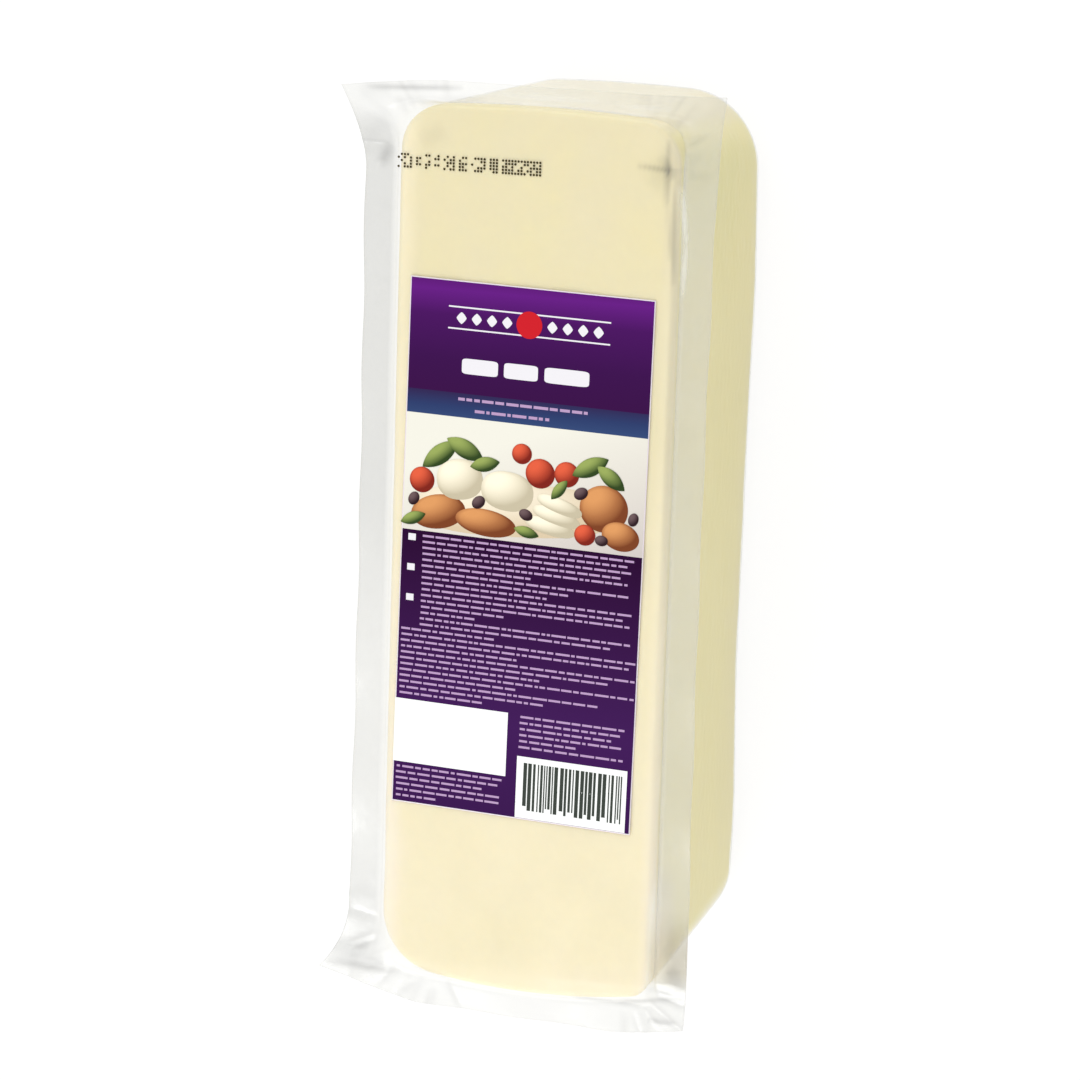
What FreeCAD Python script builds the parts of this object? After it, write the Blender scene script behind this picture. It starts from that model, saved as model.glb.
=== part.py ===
"""Mozzarella loaf in its clear vacuum pack, with a printed label on one broad face.

The pack lies on its back with the labelled face up: X runs across the face, Y along it towards
the top end of the label, and Z up. The origin is the middle of the flat back that it rests on.
Everything is in millimetres.
"""
import FreeCAD
import Part
import math
import os

# ---- the loaf, in its clinging film ---------------------------------------------------------
LOAF_WIDTH = 95.0            # across the labelled face
LOAF_LENGTH = 290.0          # along the labelled face, between the middles of its bowed ends
LOAF_DEPTH = 90.0            # from the back to the labelled face
CORNER_ROUNDS = {            # upright corners by side and end, from above: at face and back
    (-1, 1): (15.0, 27.0),
    (1, 1): (15.0, 27.0),
    (1, -1): (9.0, 21.0),
    (-1, -1): (21.0, 21.0),
}
BACK_ROUND = 12.0            # edges all round the back
FACE_ROUND = 2.5             # edges all round the labelled face
TOP_END_BOW = 2.0            # how far the middle of the top end stands out past its corners
LOW_END_BOW = 5.0            # the same at the low end
SIDE_DRAFT = 0.6             # how far each long side leans in from the face to the back
TOP_END_DRAFT = -1.5         # the same at the top end, which leans out instead
LOW_END_DRAFT = 8.0          # the same at the low end, which was cut at a slant

# ---- the welded edge of the film ------------------------------------------------------------
FLANGE_SIDE = 12.0           # its width beside the face
FLANGE_TOP = 6.5             # beyond the top end
FLANGE_LOW = 8.0             # beyond the low end
FLANGE_THICK = 0.4           # two films on each other
FLANGE_DROP = 1.8            # from the labelled face down to its middle
SIDE_PULL = 1.0              # how far the vacuum draws in the middle of each long edge
SIDE_WAVE = 0.7              # height of the ripple along the long edges
SIDE_WAVE_LENGTH = 46.0
END_WAVE = 0.6               # height of the ripple along the short edges
END_WAVE_LENGTH = 34.0
CORNER_DROOP = 2.6           # how far the loose corners hang
WAVE_POWER = 8               # how sharply the ripple fades towards the loaf
EAR_REACH = 30.0             # length of edge over which a corner flares out
EAR_POWER = 1.6              # how sharply it flares at its tip

# how far each corner stands past the plain edges: (across, along)
EARS = {
    "top_left": (9.5, -4.0),
    "top_right": (3.0, 0.5),
    "low_right": (-1.5, -3.0),
    "low_left": (11.0, -7.0),
}

# ---- the label ------------------------------------------------------------------------------
LABEL_WIDTH = 83.0
LABEL_LENGTH = 173.5
LABEL_THICK = 0.2
LABEL_CENTRE = (-1.4, 1.4)   # from the middle of the face
LABEL_TURN = -0.8            # degrees, as it was stuck on

# ---- worked out from them -------------------------------------------------------------------
HALF_WIDTH = LOAF_WIDTH / 2
HALF_LENGTH = LOAF_LENGTH / 2
FLANGE_X = HALF_WIDTH + FLANGE_SIDE
FLANGE_TOP_Y = HALF_LENGTH + FLANGE_TOP
FLANGE_LOW_Y = -HALF_LENGTH - FLANGE_LOW
FLANGE_Z = LOAF_DEPTH - FLANGE_DROP
UP = FreeCAD.Vector(0, 0, 1)
ACROSS, ALONG = 0, 1
SEAM_TURN = 90               # degrees, keeps a cylinder's seam off the wall that is used
LEVEL_SLACK = 0.3            # an edge this near a height counts as lying at it


def bowed_end(way, bow, draft):
    """A tall cylinder whose wall is one end of the loaf; way is 1 at the top end, -1 at the low."""
    radius = (HALF_WIDTH ** 2 + bow ** 2) / (2 * bow)
    reach = radius * math.hypot(LOAF_DEPTH, draft) / LOAF_DEPTH     # level, from its axis to the wall
    lean = FreeCAD.Vector(0, way * draft, LOAF_DEPTH)
    foot = FreeCAD.Vector(0, way * (HALF_LENGTH - reach - draft), 0)
    cylinder = Part.makeCylinder(radius, 3 * LOAF_DEPTH, foot - lean, lean)
    cylinder.rotate(foot, lean, SEAM_TURN)
    return cylinder


def leaning_sides():
    """A long block between the two sides, wider at the face than at the back."""
    foot = HALF_WIDTH - SIDE_DRAFT
    section = Part.makePolygon([
        FreeCAD.Vector(x, -LOAF_LENGTH, z)
        for x, z in ((-foot, 0), (foot, 0), (HALF_WIDTH, LOAF_DEPTH), (-HALF_WIDTH, LOAF_DEPTH),
                     (-foot, 0))
    ])
    return Part.Face(section).extrude(FreeCAD.Vector(0, 2 * LOAF_LENGTH, 0))


def round_corner(shape, side, way, face_round, back_round):
    """Rounds the upright edge on one side (-1 or 1) of one end (1 is the top end), by a radius that
    grows evenly from the face to the back."""
    edges = [e for e in shape.Edges if e.BoundBox.ZLength > LOAF_DEPTH / 2
             and e.BoundBox.Center.x * side > 0 and e.BoundBox.Center.y * way > 0]
    starts_at_face = edges[0].valueAt(edges[0].FirstParameter).z > LOAF_DEPTH / 2
    first, last = (face_round, back_round) if starts_at_face else (back_round, face_round)
    return shape.makeFillet(first, last, edges)


def level_edges(shape, z):
    """Edges that lie flat at height z."""
    return [e for e in shape.Edges
            if max(abs(e.BoundBox.ZMin - z), abs(e.BoundBox.ZMax - z)) < LEVEL_SLACK]


def cheese_loaf():
    """The pressed loaf in its clinging film, rounded all over except for its broad flat faces."""
    block = leaning_sides()
    block = block.common(bowed_end(1, TOP_END_BOW, TOP_END_DRAFT))
    block = block.common(bowed_end(-1, LOW_END_BOW, LOW_END_DRAFT))
    for (side, way), rounds in CORNER_ROUNDS.items():
        block = round_corner(block, side, way, *rounds)
    block = block.makeFillet(FACE_ROUND, level_edges(block, LOAF_DEPTH))
    return block.makeFillet(BACK_ROUND, level_edges(block, 0))


def film_height(x, y):
    """Height of the film edge's middle: ripples that grow outwards, and corners that hang."""
    across = min(abs(x) / FLANGE_X, 1) ** WAVE_POWER
    along = min(abs(y) / FLANGE_TOP_Y, 1) ** WAVE_POWER
    side = SIDE_WAVE * across * (1 - along) * math.sin(2 * math.pi * y / SIDE_WAVE_LENGTH)
    end = END_WAVE * along * (1 - across) * math.cos(2 * math.pi * x / END_WAVE_LENGTH)
    return FLANGE_Z + side + end - CORNER_DROOP * across * along


def film_slab():
    """A rippled slab as thick as the film edge, larger than the pack."""
    reach_x, reach_y = FLANGE_X + 16, FLANGE_TOP_Y + 10
    count_x, count_y = 25, 49
    rows = []
    for i in range(count_x):
        x = reach_x * (2 * i / (count_x - 1) - 1)
        ys = [reach_y * (2 * j / (count_y - 1) - 1) for j in range(count_y)]
        rows.append([FreeCAD.Vector(x, y, film_height(x, y) - FLANGE_THICK / 2) for y in ys])
    surface = Part.BSplineSurface()
    surface.interpolate(rows)
    return surface.toShape().extrude(UP * FLANGE_THICK)


def ear_tip(name):
    """Where a corner of the film ends."""
    out, along = EARS[name]
    x = (FLANGE_X + out) * (-1 if name.endswith("left") else 1)
    y = FLANGE_TOP_Y + along if name.startswith("top") else FLANGE_LOW_Y - along
    return x, y


def flare(distance):
    """Share of an ear's flare that is left at this distance from its tip."""
    return max(0, 1 - distance / EAR_REACH) ** EAR_POWER


def film_edge(start, finish, level, axis):
    """A smooth edge from ear to ear along `axis`, which keeps near `level` between its flares."""
    length = finish[axis] - start[axis]
    pull = -math.copysign(SIDE_PULL, level) if axis == ALONG else 0
    stations = 17
    points = []
    for i in range(stations):
        share = i / (stations - 1)
        near, far = share * abs(length), (1 - share) * abs(length)
        offset = level + pull * math.sin(math.pi * share)
        offset += (start[1 - axis] - level) * flare(near) + (finish[1 - axis] - level) * flare(far)
        place = start[axis] + share * length
        x, y = (offset, place) if axis == ALONG else (place, offset)
        points.append(FreeCAD.Vector(x, y, 0))
    curve = Part.BSplineCurve()
    curve.interpolate(points)
    return curve.toShape()


def film_flange(loaf):
    """The welded film edge all round the face, with a flared ear at each corner."""
    top_left, top_right = ear_tip("top_left"), ear_tip("top_right")
    low_left, low_right = ear_tip("low_left"), ear_tip("low_right")
    outline = Part.Wire([
        film_edge(low_right, top_right, FLANGE_X, ALONG),
        film_edge(top_right, top_left, FLANGE_TOP_Y, ACROSS),
        film_edge(top_left, low_left, -FLANGE_X, ALONG),
        film_edge(low_left, low_right, FLANGE_LOW_Y, ACROSS),
    ])
    plate = Part.Face(outline).extrude(UP * (LOAF_DEPTH + FLANGE_THICK))
    return plate.common(film_slab()).cut(loaf)


def label():
    """The printed label, stuck flat on the face, slightly askew."""
    low_corner = FreeCAD.Vector(-LABEL_WIDTH / 2, -LABEL_LENGTH / 2, 0)
    sheet = Part.makeBox(LABEL_WIDTH, LABEL_LENGTH, LABEL_THICK, low_corner)
    sheet.rotate(FreeCAD.Vector(0, 0, 0), UP, LABEL_TURN)
    sheet.translate(FreeCAD.Vector(LABEL_CENTRE[0], LABEL_CENTRE[1], LOAF_DEPTH))
    return sheet


def save(name, shape):
    """Writes one piece as a single solid."""
    solids = shape.Solids
    if len(solids) != 1 or not solids[0].isValid():
        raise SystemExit(f"{name}: {len(solids)} solids, valid {[s.isValid() for s in solids]}")
    solids[0].exportStep(f"parts/{name}.step")
    print(f"{name}: {solids[0].Volume / 1000:.1f} cm3")


os.makedirs("parts", exist_ok=True)
loaf_shape = cheese_loaf()
save("cheese_loaf", loaf_shape)
save("film_flange", film_flange(loaf_shape))
save("label", label())
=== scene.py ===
"""Looks for a mozzarella loaf in its clear vacuum pack: the pressed cheese, the film that clings to
it and is welded into a flat edge round its face, a printed label and a plain row of printed dots.

The pack lies on its back with the labelled face up: X across the face, Y along it towards the top
end, Z up. Lengths are in millimetres until a mesh is made.
"""

import math

import bmesh
import bpy
import numpy as np
from mathutils import Matrix, Vector


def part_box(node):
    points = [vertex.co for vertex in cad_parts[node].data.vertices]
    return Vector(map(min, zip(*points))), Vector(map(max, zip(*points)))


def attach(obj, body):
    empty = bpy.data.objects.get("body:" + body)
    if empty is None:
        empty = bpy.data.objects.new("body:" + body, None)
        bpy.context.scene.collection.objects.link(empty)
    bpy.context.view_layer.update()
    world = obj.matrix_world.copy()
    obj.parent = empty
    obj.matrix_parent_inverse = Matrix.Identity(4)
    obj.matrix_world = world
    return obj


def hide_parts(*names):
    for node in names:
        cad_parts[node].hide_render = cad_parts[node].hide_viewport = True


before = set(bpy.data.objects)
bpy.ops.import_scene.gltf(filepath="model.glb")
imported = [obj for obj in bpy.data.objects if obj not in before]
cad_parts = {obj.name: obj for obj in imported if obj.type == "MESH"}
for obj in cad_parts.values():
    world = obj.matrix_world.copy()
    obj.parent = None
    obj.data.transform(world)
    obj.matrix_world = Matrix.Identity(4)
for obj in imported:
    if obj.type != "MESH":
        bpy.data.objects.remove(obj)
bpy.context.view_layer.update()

MM = 0.001
LOAF_HIGH = np.array(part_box("cheese_loaf")[1]) / MM
LABEL_BOX = np.array(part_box("label")) / MM

# ---- the loaf's form, as the solid has it ---------------------------------------------------
DEPTH = LOAF_HIGH[2]                         # height of the labelled face
HALF_WIDTH = 47.5
HALF_LENGTH = 145.0
BACK_ROUND = 12.0
FACE_ROUND = 2.5
SIDE_DRAFT = 0.6                             # lean of the long sides from face to back
TOP, LOW = 1, -1                             # the two ends, by their sign along Y
CORNER_ROUNDS = {                            # upright corners by side and end, at face and back
    (-1, TOP): (15.0, 27.0),
    (1, TOP): (15.0, 27.0),
    (1, LOW): (9.0, 21.0),
    (-1, LOW): (21.0, 21.0),
}
END_BOW = {TOP: 2.0, LOW: 5.0}
END_DRAFT = {TOP: -1.5, LOW: 8.0}            # lean of the two ends from face to back

# ---- the loaf's unevenness past the solid ---------------------------------------------------
SIDE_BELLS = ((0.9, 80, 30), (0.7, -95, 20), (-0.5, -38, 30))       # height, middle along Y, width
END_FALL = 0.9                               # the face falls away by this at its two ends

# ---- the film's form ------------------------------------------------------------------------
EDGE_X = 59.5                                # long edges of the film, from the middle
EDGE_Y = {TOP: 151.5, LOW: 153.0}            # its short edges
SIDE_PULL = 1.0                              # the vacuum draws the long edges in
EDGE_LEVEL = DEPTH - 1.8                     # height of the welded edge
SIDE_RIPPLE, SIDE_WAVE = 0.7, 46.0           # height and length of the long edges' ripples
END_RIPPLE, END_WAVE = 0.6, 34.0             # and of the short edges'
CORNER_HANG = 2.6                            # how far the edge sags at its corners
EAR_REACH = 30.0                             # how far from a corner its flare begins
EAR_POWER = 1.6                              # how steeply it grows from there
EARS = {                                     # how far each corner flares: across, along
    (-1, TOP): (9.5, -4.0),
    (1, TOP): (1.2, 0.5),
    (1, LOW): (-1.5, -3.0),
    (-1, LOW): (11.0, -7.0),
}


# ---- small helpers --------------------------------------------------------------------------
def smooth(x, low, high):
    """Smooth step: 0 below low, 1 above high, 3t^2 - 2t^3 between."""
    t = np.clip((x - low) / (high - low), 0, 1)
    return t * t * (3 - 2 * t)


def between(start, stop, share):
    """The value a share of the way from start to stop."""
    return start + share * (stop - start)


def wander(x, y, z, wave, seed, waves=9):
    """Smooth unevenness, mostly from -1 to 1: the sum of sine waves of random direction and phase,
    with lengths from 0.7 to 1.5 times wave, over the square root of their number."""
    draw = np.random.default_rng(seed)
    total = np.zeros(np.broadcast(x, y, z).shape)
    for _ in range(waves):
        way = draw.normal(size=3)
        way *= 2 * math.pi / (wave * draw.uniform(0.7, 1.5)) / np.linalg.norm(way)
        total += np.sin(way[0] * x + way[1] * y + way[2] * z + draw.uniform(0, 2 * math.pi))
    return total / math.sqrt(waves)


def by_end(values):
    """The value for each station's own end, from a value for each end."""
    return np.where(END_SIGN > 0, values[TOP], values[LOW])


def srgb(red, green, blue):
    """A colour from its 8-bit screen values, as linear light with full alpha: a straight line near
    black and a power of 2.4 above it."""
    screen = [level / 255 for level in (red, green, blue)]
    light = [v / 12.92 if v <= 0.04045 else ((v + 0.055) / 1.055) ** 2.4 for v in screen]
    return (*light, 1.0)


def make_piece(name, points, faces, material, attributes=None, smooth_shading=True):
    """A piece from points in millimetres, shape (n, 3), and each face's list of points; attributes
    hold a value for each point. Doubles are merged."""
    mesh = bpy.data.meshes.new(name)
    mesh.from_pydata((np.asarray(points) * MM).tolist(), [], faces)
    for key, values in (attributes or {}).items():
        layer = mesh.attributes.new(key, "FLOAT", "POINT")
        layer.data.foreach_set("value", np.asarray(values, np.float32).ravel())
    work = bmesh.new()
    work.from_mesh(mesh)
    bmesh.ops.remove_doubles(work, verts=work.verts, dist=1e-7)
    bmesh.ops.dissolve_degenerate(work, edges=work.edges, dist=1e-8)
    work.to_mesh(mesh)
    work.free()
    mesh.polygons.foreach_set("use_smooth", [smooth_shading] * len(mesh.polygons))
    mesh.materials.append(material)
    piece = bpy.data.objects.new(name, mesh)
    bpy.context.scene.collection.objects.link(piece)
    return piece


def ring_faces(rows, count):
    """Quads between `rows` closed rings of `count` points each, facing outwards for rings that
    run anticlockwise and follow each other downwards."""
    index = np.arange(rows * count).reshape(rows, count)
    right = np.roll(index, -1, axis=1)
    quads = np.stack([index[:-1], index[1:], right[1:], right[:-1]], axis=-1)
    return quads.reshape(-1, 4).tolist()


# ---- stations round the pack ----------------------------------------------------------------
SIDE_STEPS, CORNER_STEPS, END_STEPS = 66, 92, 34


def stations():
    """The stations round the pack, anticlockwise from the middle of the right side. Each has its
    share of the long side's straight half, of the corner's turn and of the end's turn, and the sign
    of its side and end."""
    side = np.r_[np.linspace(0, 1, SIDE_STEPS + 1), np.ones(CORNER_STEPS + END_STEPS)]
    corner = np.r_[np.zeros(SIDE_STEPS), np.linspace(0, 1, CORNER_STEPS + 1), np.ones(END_STEPS)]
    end = np.r_[np.zeros(SIDE_STEPS + CORNER_STEPS), np.linspace(0, 1, END_STEPS + 1)]
    quarter = np.stack([side, corner, end])[:, :-1]
    mirrored = np.stack([side, corner, end])[:, :0:-1]
    columns = []
    quarters = ((1, TOP, quarter), (-1, TOP, mirrored), (-1, LOW, quarter), (1, LOW, mirrored))
    for side_sign, way, part in quarters:
        signs = np.array([[side_sign], [way]]) * np.ones((1, part.shape[1]))
        columns.append(np.concatenate([part, signs]))
    return np.concatenate(columns, axis=1)


SIDE_SHARE, CORNER_SHARE, END_SHARE, SIDE_SIGN, END_SIGN = stations()
COUNT = len(SIDE_SHARE)
END_RADIUS = by_end({way: (HALF_WIDTH ** 2 + bow ** 2) / (2 * bow) for way, bow in END_BOW.items()})
FACE_CORNER, BACK_CORNER = np.zeros(COUNT), np.zeros(COUNT)
for (side, way), (face_round, back_round) in CORNER_ROUNDS.items():
    here = (SIDE_SIGN == side) & (END_SIGN == way)
    FACE_CORNER[here] = face_round
    BACK_CORNER[here] = back_round
ON_END = END_SHARE > 0


def facing(corner_round):
    """The direction each station faces, from 0 along X to a right angle along Y: it turns through the
    corner up to the lean at which the bowed end begins, and through that lean along the end."""
    lean = np.arcsin((HALF_WIDTH - corner_round) / (END_RADIUS - corner_round))
    return CORNER_SHARE * (math.pi / 2 - lean) + END_SHARE * lean


def side_swell(y):
    """How far the right side stands out at the back past a straight wall: it is fullest near its two
    ends and slightly hollow below its middle. The sum of bells, height times exp(-(distance from
    its middle / width) squared)."""
    return sum(height * np.exp(-((y - middle) / width) ** 2) for height, middle, width in SIDE_BELLS)


def loaf_ring(inset, height):
    """x and y round the loaf at a height, moved in by inset: the centres of the corners and of the
    bowed ends plus (radius - inset) times the facing direction, leaning in towards the back, and
    swollen on the right side there."""
    back = 1 - height / DEPTH
    corner_round = between(FACE_CORNER, BACK_CORNER, back)
    turn = facing(corner_round)
    cos, sin = np.cos(turn), np.sin(turn)
    middle_x = HALF_WIDTH - corner_round
    bow_y = HALF_LENGTH - END_RADIUS
    corner_y = bow_y + np.sqrt((END_RADIUS - corner_round) ** 2 - middle_x ** 2)
    corner, bow = corner_round - inset, END_RADIUS - inset
    x = np.where(ON_END, bow * cos, middle_x + corner * cos)
    y = np.where(ON_END, bow_y + bow * sin, corner_y * SIDE_SHARE + corner * sin)
    x = x * (1 - SIDE_DRAFT * back / HALF_WIDTH)
    y = y - by_end(END_DRAFT) * back * SIDE_SHARE
    x = x + np.where(SIDE_SIGN > 0, side_swell(END_SIGN * y), 0) * back * cos
    return SIDE_SIGN * x, END_SIGN * y


def cap_rings(shares, inset, height):
    """Rings that shrink from a loaf ring at share 1 to a straight spine along Y at share 0."""
    x, y = loaf_ring(inset, height)
    spine = HALF_LENGTH - HALF_WIDTH
    middle = np.clip(y, -spine, spine)
    shares = shares[:, None]
    return shares * x, middle + shares * (y - middle)


TURN = facing(FACE_CORNER)
OUT_X, OUT_Y = SIDE_SIGN * np.cos(TURN), END_SIGN * np.sin(TURN)
CORNERNESS = np.where(ON_END, 0, np.sin(2 * TURN)) ** 2        # 1 in the middle of each corner
ON_LONG_EDGE = np.cos(TURN) ** 2                               # 1 beside the face, 0 past its ends


# ---- the cheese -----------------------------------------------------------------------------
SKIN = 0.45                                  # the cheese lies this far inside the solid
CLING = 0.12                                 # and the film this far


def wall_profile(over_steps, wall_steps, under_steps):
    """The cheese's inset and height from the face's rounded edge down the wall and round the back's
    edge: two quarter circles joined by a straight line."""
    over = np.linspace(0, math.pi / 2, over_steps)
    under = np.linspace(0, math.pi / 2, under_steps)
    top, low = DEPTH - SKIN, SKIN + BACK_ROUND
    wall = np.linspace(top - FACE_ROUND, low, wall_steps)[1:-1]
    inset = np.r_[FACE_ROUND * (1 - np.sin(over)), 0 * wall, BACK_ROUND * (1 - np.cos(under))] + SKIN
    height = np.r_[top - FACE_ROUND * (1 - np.cos(over)), wall, low - BACK_ROUND * np.sin(under)]
    return inset[:, None], height[:, None]


def end_fall(y):
    """How far the face falls away at its two ends: a smooth step near each."""
    return END_FALL * smooth(-y, 136, 149) + END_FALL * smooth(y, 134, 148)


def paleness_with_painted_light(x, y, z, on_wall):
    """How pale the cheese is, with painted light and shade in it, as a sum of smooth steps. The face
    is paler than the walls, partly as painted sheen. Painted light makes it paler towards the low
    end, towards its right edge and in a band along the low end, and it is also paler towards its
    left edge. The two ends are painted up to a middle tone against their shade. The long walls are
    deeper, darkened by painted shade most of all at the right wall's top end, and a painted
    highlight makes the right wall pale at its low front corner."""
    right_painted_light, left_edge = smooth(x, 42, 46.5), smooth(-x, 38, 45)
    low_painted_sheen = smooth(-y + 0.12 * x, 128, 142)
    # painted light: the face paler towards the low end, as if lit more from there, with painted sheen
    # at its right edge and low band
    pale = 0.32 + 0.36 * smooth(-y, -110, 120) + 0.25 * right_painted_light + 0.4 * left_edge + 0.1 * low_painted_sheen
    pale *= smooth(z, DEPTH - 6, DEPTH - 2.5)
    # the ends painted paler, up to a middle tone, against their shade
    pale = np.maximum(pale, 0.45 * smooth(np.abs(OUT_Y), 0.2, 1) * on_wall)
    # painted shade on the right wall towards its top end
    pale = pale - 0.25 * smooth(y, 70, 130) * smooth(OUT_X, 0.5, 0.9) * on_wall
    # painted highlight on the right wall at its low front corner
    return pale + 1.1 * smooth(-y, 90, 125) * smooth(x, 44.8, 47.3) * smooth(z, 62, 84)


def make_cheese(material):
    """The pressed loaf, a little uneven: each wall point moves in or out and each face point down or
    up by a smooth unevenness, at most 0.25 mm outwards and 0.15 mm upwards."""
    inset, height = wall_profile(7, 26, 9)
    wall_x, wall_y = loaf_ring(inset, height)
    wall_z = height + 0 * wall_x
    face_x, face_y = cap_rings(np.linspace(0, 1, 20)[:-1], SKIN + FACE_ROUND, DEPTH)
    back_x, back_y = cap_rings(np.linspace(1, 0, 14)[1:], SKIN + BACK_ROUND, 0.0)
    x = np.concatenate([face_x, wall_x, back_x])
    y = np.concatenate([face_y, wall_y, back_y])
    z = np.concatenate([0 * face_x + DEPTH - SKIN, wall_z, 0 * back_x + SKIN])
    uneven = 0.17 * wander(x, y, z, 34, seed=3) + 0.07 * wander(x, y, z, 11, seed=4)
    on_wall = smooth(z, 2, 14) * (1 - smooth(z, DEPTH - 4, DEPTH - 1))
    on_face = smooth(z, DEPTH - 4, DEPTH - 0.5)
    points = np.stack([
        x + OUT_X * np.minimum(uneven, 0.25) * on_wall,
        y + OUT_Y * np.minimum(uneven, 0.25) * on_wall,
        z + np.minimum(uneven, 0.15) * on_face - end_fall(y) * smooth(z, DEPTH - 20, DEPTH),
    ], axis=-1)
    faces = ring_faces(len(x), COUNT)
    # the pale attribute carries the painted light and shade into the cheese's colour
    return make_piece("cheese", points.reshape(-1, 3), faces, material,
                      {"pale": paleness_with_painted_light(x, y, z, on_wall)})


# ---- the film's edge and height -------------------------------------------------------------
def edge_ring():
    """x and y of the film's trimmed edge at each station: straight long and short edges, met in the
    corners along the facing direction, with the long edges drawn in and the ears flared out."""
    cos, sin = np.maximum(np.cos(TURN), 1e-6), np.maximum(np.sin(TURN), 1e-6)
    end = by_end(EDGE_Y)
    face_x, face_y = (np.abs(v) for v in loaf_ring(0.0, DEPTH))
    middle_x = HALF_WIDTH - FACE_CORNER
    middle_y = HALF_LENGTH - FACE_CORNER
    reach = np.minimum((EDGE_X - middle_x) / cos, (end - middle_y) / sin)
    in_corner = (SIDE_SHARE >= 1) & ~ON_END
    x = np.where(in_corner, middle_x + reach * cos, np.where(ON_END, face_x, EDGE_X))
    y = np.where(in_corner, middle_y + reach * sin, np.where(ON_END, end, face_y))
    pulled = SIDE_PULL * np.cos(np.clip(y / end, 0, 1) * math.pi / 2) * smooth(x, middle_x, EDGE_X)
    distance = np.maximum(EDGE_X - x, 0) + np.maximum(end - y, 0)
    flare = np.clip(1 - distance / EAR_REACH, 0, 1) ** EAR_POWER
    out, on = np.zeros(COUNT), np.zeros(COUNT)
    for (side, way), (flare_x, flare_y) in EARS.items():
        here = (SIDE_SIGN == side) & (END_SIGN == way)
        out += flare_x * flare * here
        on += flare_y * flare * here
    return SIDE_SIGN * (x - pulled + out), END_SIGN * (y + on)


def edge_height(x, y):
    """Height of the welded edge: a sine along the long edges, a cosine along the short ones, both
    growing outwards with the eighth power of the place, and corners that hang."""
    across = np.clip(np.abs(x) / EDGE_X, 0, 1) ** 8
    along = np.clip(np.abs(y) / EDGE_Y[TOP], 0, 1) ** 8
    side = SIDE_RIPPLE * across * (1 - along) * np.sin(2 * math.pi * y / SIDE_WAVE)
    end = END_RIPPLE * along * (1 - across) * np.cos(2 * math.pi * x / END_WAVE)
    return EDGE_LEVEL + side + end - CORNER_HANG * across * along


# ---- folds in the film ----------------------------------------------------------------------
FAN_START, FAN_SWEEP = -0.17, 1.9            # a corner's fan of folds, in radians from X
MOST_PAINTED_SHADE = 0.6                              # the most painted shade, where dark folds cross

# start x and y, end x and y, width, height and painted shade (painted highlight if negative) of the
# larger folds
LARGE_FOLDS = [
    (43.6, 117.0, 43.6, 138.5, 0.8, 0.14, 0.26),          # the star near the top right corner
    (33.0, 129.4, 51.5, 128.0, 0.8, -0.14, 0.22),
    (38.5, 122.0, 47.5, 136.0, 4.0, 0.10, 0.08),
    (40.5, 133.0, 48.5, 123.5, 1.2, -0.10, 0.12),
    (46.0, 125.0, 46.7, 92.0, 0.8, -0.15, 0.22),          # down the right edge of the face
    (44.2, 119.0, 45.4, 100.0, 0.7, 0.12, 0.12),
    (47.6, 124.0, 50.0, 106.0, 0.9, 0.12, -0.35),
    (50.0, 108.0, 49.4, 88.0, 0.9, 0.12, -0.35),
    (46.8, 110.0, 46.9, -20.0, 0.9, -0.10, 0.07),
    (-60.0, 147.4, -26.0, 149.4, 0.9, 0.22, 0.26),        # along the top edge
    (-63.0, 146.5, -51.0, 147.8, 2.8, 0.12, 0.07),
    (-60.0, 130.0, -51.0, 140.0, 3.5, 0.12, 0.06),
    (-50.0, 143.6, -18.0, 146.4, 1.2, -0.20, 0.10),
    (-22.0, 148.4, 20.0, 148.0, 0.9, 0.12, -0.20),
    (24.0, 147.2, 44.0, 147.6, 0.8, 0.12, -0.16),
    (-54.0, 123.0, -50.5, 130.0, 2.0, 0.15, 0.26),
    (-40.0, 131.5, -31.0, 136.0, 3.0, 0.10, 0.05),
    (36.0, -142.6, 58.5, -138.9, 0.9, -0.22, 0.22),       # pulled tight at the low right corner
    (20.0, -142.8, 46.0, -143.0, 0.8, -0.20, 0.14),
    (10.0, -137.6, 56.0, -134.0, 1.5, 0.30, 0.0),
    (46.0, -147.6, 56.0, -148.0, 1.1, 0.22, 0.20),
    (53.0, -129.0, 58.0, -137.0, 2.4, 0.20, 0.22),
    (-69.0, -143.4, -40.0, -143.2, 1.2, -0.22, 0.14),     # across the low left ear
    (-69.0, -138.5, -52.0, -136.0, 2.6, 0.20, 0.12),
    (-68.0, -141.5, -46.0, -141.0, 4.5, 0.15, 0.22),
    (-63.0, -120.0, -50.0, -137.0, 7.0, 0.0, 0.07),
    (-57.5, -116.5, -49.0, -119.0, 1.6, 0.22, 0.05),
    (-36.0, -140.2, -22.0, -142.6, 0.8, -0.20, 0.12),
]


def corner_folds(side, way, count, seed):
    """Folds that fan out from a corner of the loaf: each starts just outside the corner's round and
    runs 6 to 20 mm outwards at its own angle."""
    draw = np.random.default_rng(seed)
    rounding = CORNER_ROUNDS[side, way][0]
    turn = (np.arange(count) + draw.uniform(0.1, 0.9, count)) / count * FAN_SWEEP + FAN_START
    near = rounding + draw.uniform(-1.5, 3.0, count)
    far = near + draw.uniform(6, 20, count)
    middle_x, middle_y = HALF_WIDTH - rounding, HALF_LENGTH - rounding
    bend = turn + draw.uniform(-0.12, 0.12, count)
    width = draw.uniform(0.7, 1.6, count)
    rise = draw.uniform(0.08, 0.26, count) * draw.choice([-1, 1], count)
    # painted shade along each fold
    shade = draw.uniform(0.0, 0.09, count)
    return np.stack([
        side * (middle_x + near * np.cos(turn)), way * (middle_y + near * np.sin(turn)),
        side * (middle_x + far * np.cos(bend)), way * (middle_y + far * np.sin(bend)),
        width, rise, shade,
    ], axis=1)


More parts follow.
